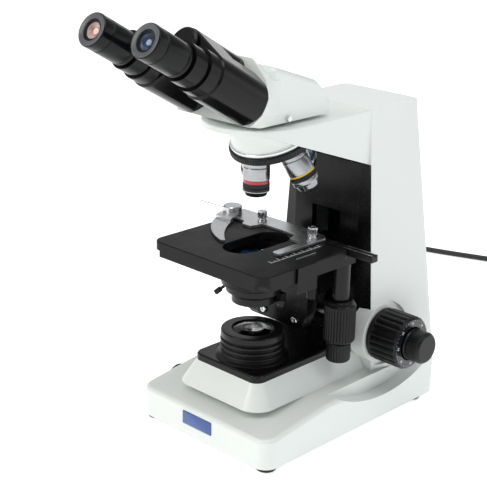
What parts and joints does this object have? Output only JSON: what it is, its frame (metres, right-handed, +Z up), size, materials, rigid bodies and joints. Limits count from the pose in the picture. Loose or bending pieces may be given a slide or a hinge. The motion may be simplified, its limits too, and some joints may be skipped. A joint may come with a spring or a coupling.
{
  "type": "binocular laboratory microscope",
  "caption": "Compound microscope with an inclined binocular head, a tilting nosepiece, a mechanical stage, a condenser and coaxial focusing knobs.",
  "frame": {"origin": "on the optical axis, in the plane that the feet stand on", "axes": "+Z up, the user at -Y, +X to the user's right"},
  "size_m": [0.3266, 0.8041, 0.3853],
  "materials": {
    "white_enamel": "fine satin enamel",
    "black_enamel": "satin enamel",
    "black_anodised": "bead-blasted, black anodised",
    "stage_black": "hard matt coating",
    "white_plastic": "fine moulded grain",
    "black_plastic": "fine moulded grain",
    "knob_plastic": "fluted and moulded",
    "blue_plate": "plain, blank",
    "glass": "coated and polished",
    "chrome": "polished",
    "satin_chrome": "satin",
    "steel": "ground",
    "brass_chrome": "turned and chromed",
    "rubber": "moulded",
    "cast": "as cast",
    "cord_pvc": "smooth flexible sheath"
  },
  "bodies": {
    "stand": {"base_casting": "white_enamel", "base_floor": "steel", "foot_1": "rubber", "foot_2": "rubber", "foot_3": "rubber", "foot_4": "rubber", "deck_plate": "black_enamel", "lamp_housing": "black_anodised", "field_lens": "glass", "led_module": "cast", "power_inlet": "black_plastic", "badge": "blue_plate", "arm_cover": "white_plastic", "column_panel": "black_enamel", "column_frame": "cast", "arm_carrier": "white_enamel", "nosepiece_mount": "white_enamel", "head_dovetail": "steel", "cord_tube": "cord_pvc", "cord_coil": "cord_pvc", "cord_connector": "black_plastic", "cord_plug": "black_plastic"},
    "switch": {"power_switch": "black_plastic"},
    "dial": {"brightness_knob": "knob_plastic"},
    "fine_carriage": {"fine_slide": "steel"},
    "carriage": {"focus_slide": "black_enamel", "stage_lower_plate": "stage_black"},
    "coarse_drive": {"focus_shaft": "steel", "coarse_knob_right": "knob_plastic", "coarse_knob_left": "knob_plastic"},
    "fine_drive": {"fine_knob_right": "knob_plastic", "fine_knob_left": "knob_plastic"},
    "stage": {"stage_top_plate": "stage_black", "drive_housing": "black_anodised"},
    "y_drive": {"y_knob": "knob_plastic"},
    "x_drive": {"x_knob": "knob_plastic"},
    "slide_holder": {"holder_rail": "steel", "holder_plate": "satin_chrome", "holder_screw_1": "chrome", "holder_screw_2": "chrome"},
    "claw": {"holder_claw": "satin_chrome"},
    "condenser": {"condenser_carrier": "black_anodised", "condenser_body": "black_anodised", "condenser_lens": "glass"},
    "iris": {"iris_lever": "black_anodised"},
    "filter": {"filter_holder": "black_anodised"},
    "condenser_drive": {"condenser_knob": "knob_plastic"},
    "nosepiece": {"turret": "black_anodised", "objective_4x": "brass_chrome", "objective_10x": "brass_chrome", "objective_40x": "brass_chrome", "objective_100x": "brass_chrome"},
    "head": {"head_housing": "white_enamel", "hinge_hub": "black_enamel"},
    "clamp": {"head_screw": "steel"},
    "wing_r": {"wing_right": "black_enamel"},
    "wing_l": {"wing_left": "black_enamel"},
    "diopter": {"diopter_ring": "knob_plastic"},
    "eye_r": {"eyepiece_right": "black_anodised"},
    "eye_l": {"eyepiece_left": "black_anodised"}
  },
  "joints": [
    {"name": "switch_rock", "type": "hinge", "parent": "stand", "child": "switch", "pos_m": [0.035, 0.1715, 0.02], "axis": [1, 0, 0], "range_deg": [-6, 6]},
    {"name": "brightness_turn", "type": "hinge", "parent": "stand", "child": "dial", "pos_m": [-0.08, -0.01, 0.02], "axis": [1, 0, 0], "range_deg": [-135, 135]},
    {"name": "fine_turn", "type": "hinge", "parent": "stand", "child": "fine_drive", "pos_m": [0, 0.1106, 0.0756], "axis": [1, 0, 0], "range_deg": [-721, 721]},
    {"name": "fine_lift", "type": "slide", "parent": "stand", "child": "fine_carriage", "axis": [0, 0, 1], "range_m": [-0.001, 0.001]},
    {"name": "coarse_turn", "type": "hinge", "parent": "stand", "child": "coarse_drive", "pos_m": [0, 0.1106, 0.0756], "axis": [1, 0, 0], "range_deg": [-36.5, 226]},
    {"name": "coarse_lift", "type": "slide", "parent": "fine_carriage", "child": "carriage", "axis": [0, 0, 1], "range_m": [-0.004, 0.025]},
    {"name": "y_turn", "type": "hinge", "parent": "stage", "child": "y_drive", "pos_m": [0.056, 0.0535, 0.1], "axis": [0, 0, 1], "range_deg": [-230, 153.5]},
    {"name": "stage_y", "type": "slide", "parent": "carriage", "child": "stage", "axis": [0, 1, 0], "range_m": [-0.018, 0.012]},
    {"name": "x_turn", "type": "hinge", "parent": "stage", "child": "x_drive", "pos_m": [0.056, 0.0535, 0.07], "axis": [0, 0, 1], "range_deg": [-478.5, 478.5]},
    {"name": "holder_x", "type": "slide", "parent": "stage", "child": "slide_holder", "axis": [1, 0, 0], "range_m": [-0.0375, 0.0375]},
    {"name": "claw_open", "type": "hinge", "parent": "slide_holder", "child": "claw", "pos_m": [-0.067, 0.04, 0.178], "axis": [0, 0, 1], "range_deg": [-30, 0], "stiffness_Nm_per_rad": 0.02, "springref_deg": 5.73},
    {"name": "condenser_turn", "type": "hinge", "parent": "carriage", "child": "condenser_drive", "pos_m": [-0.02, 0.062, 0.122], "axis": [1, 0, 0], "range_deg": [-129.5, 0.5]},
    {"name": "condenser_lift", "type": "slide", "parent": "carriage", "child": "condenser", "axis": [0, 0, 1], "range_m": [-0.009, 0]},
    {"name": "iris_turn", "type": "hinge", "parent": "condenser", "child": "iris", "pos_m": [0, 0, 0.1335], "axis": [0, 0, 1], "range_deg": [-15, 60]},
    {"name": "filter_swing", "type": "hinge", "parent": "condenser", "child": "filter", "pos_m": [0.0225, 0.012, 0.122], "axis": [0, 0, 1], "range_deg": [0, 90]},
    {"name": "nosepiece_turn", "type": "hinge", "parent": "stand", "child": "nosepiece", "pos_m": [0, 0.01669, 0.26646], "axis": [0, 0.342, -0.9397], "continuous": true},
    {"name": "head_turn", "type": "hinge", "parent": "stand", "child": "head", "pos_m": [0, 0, 0.289], "axis": [0, 0, 1], "continuous": true},
    {"name": "clamp_turn", "type": "hinge", "parent": "head", "child": "clamp", "pos_m": [0.038, -0.003, 0.2924], "axis": [1, 0, 0], "range_deg": [-180, 180]},
    {"name": "wing_right_swing", "type": "hinge", "parent": "head", "child": "wing_r", "pos_m": [0, -0.14372, 0.39089], "axis": [0, -0.8695, 0.4939], "range_deg": [-8.5, 23.5]},
    {"name": "wing_left_swing", "type": "hinge", "parent": "head", "child": "wing_l", "pos_m": [0, -0.14372, 0.39089], "axis": [0, -0.8695, 0.4939], "range_deg": [-23.6, 8.6]},
    {"name": "diopter_turn", "type": "hinge", "parent": "wing_l", "child": "diopter", "pos_m": [-0.0305, -0.10578, 0.34633], "axis": [0, -0.8695, 0.4939], "range_deg": [-120, 120]},
    {"name": "eyepiece_right_slide", "type": "slide", "parent": "wing_r", "child": "eye_r", "axis": [0, -0.8695, 0.4939], "range_m": [0, 0.024]},
    {"name": "eyepiece_left_slide", "type": "slide", "parent": "wing_l", "child": "eye_l", "axis": [0, -0.8695, 0.4939], "range_m": [0, 0.024]}
  ],
  "couplings": [
    {"joint": "fine_turn", "follows": "fine_lift", "rad_per_m": 12566},
    {"joint": "coarse_turn", "follows": "coarse_lift", "rad_per_m": 157.08},
    {"joint": "y_turn", "follows": "stage_y", "rad_per_m": 222.22},
    {"joint": "x_turn", "follows": "holder_x", "rad_per_m": 222.22},
    {"joint": "condenser_turn", "follows": "condenser_lift", "rad_per_m": 250},
    {"joint": "wing_left_swing", "follows": "wing_right_swing", "ratio": -1}
  ]
}
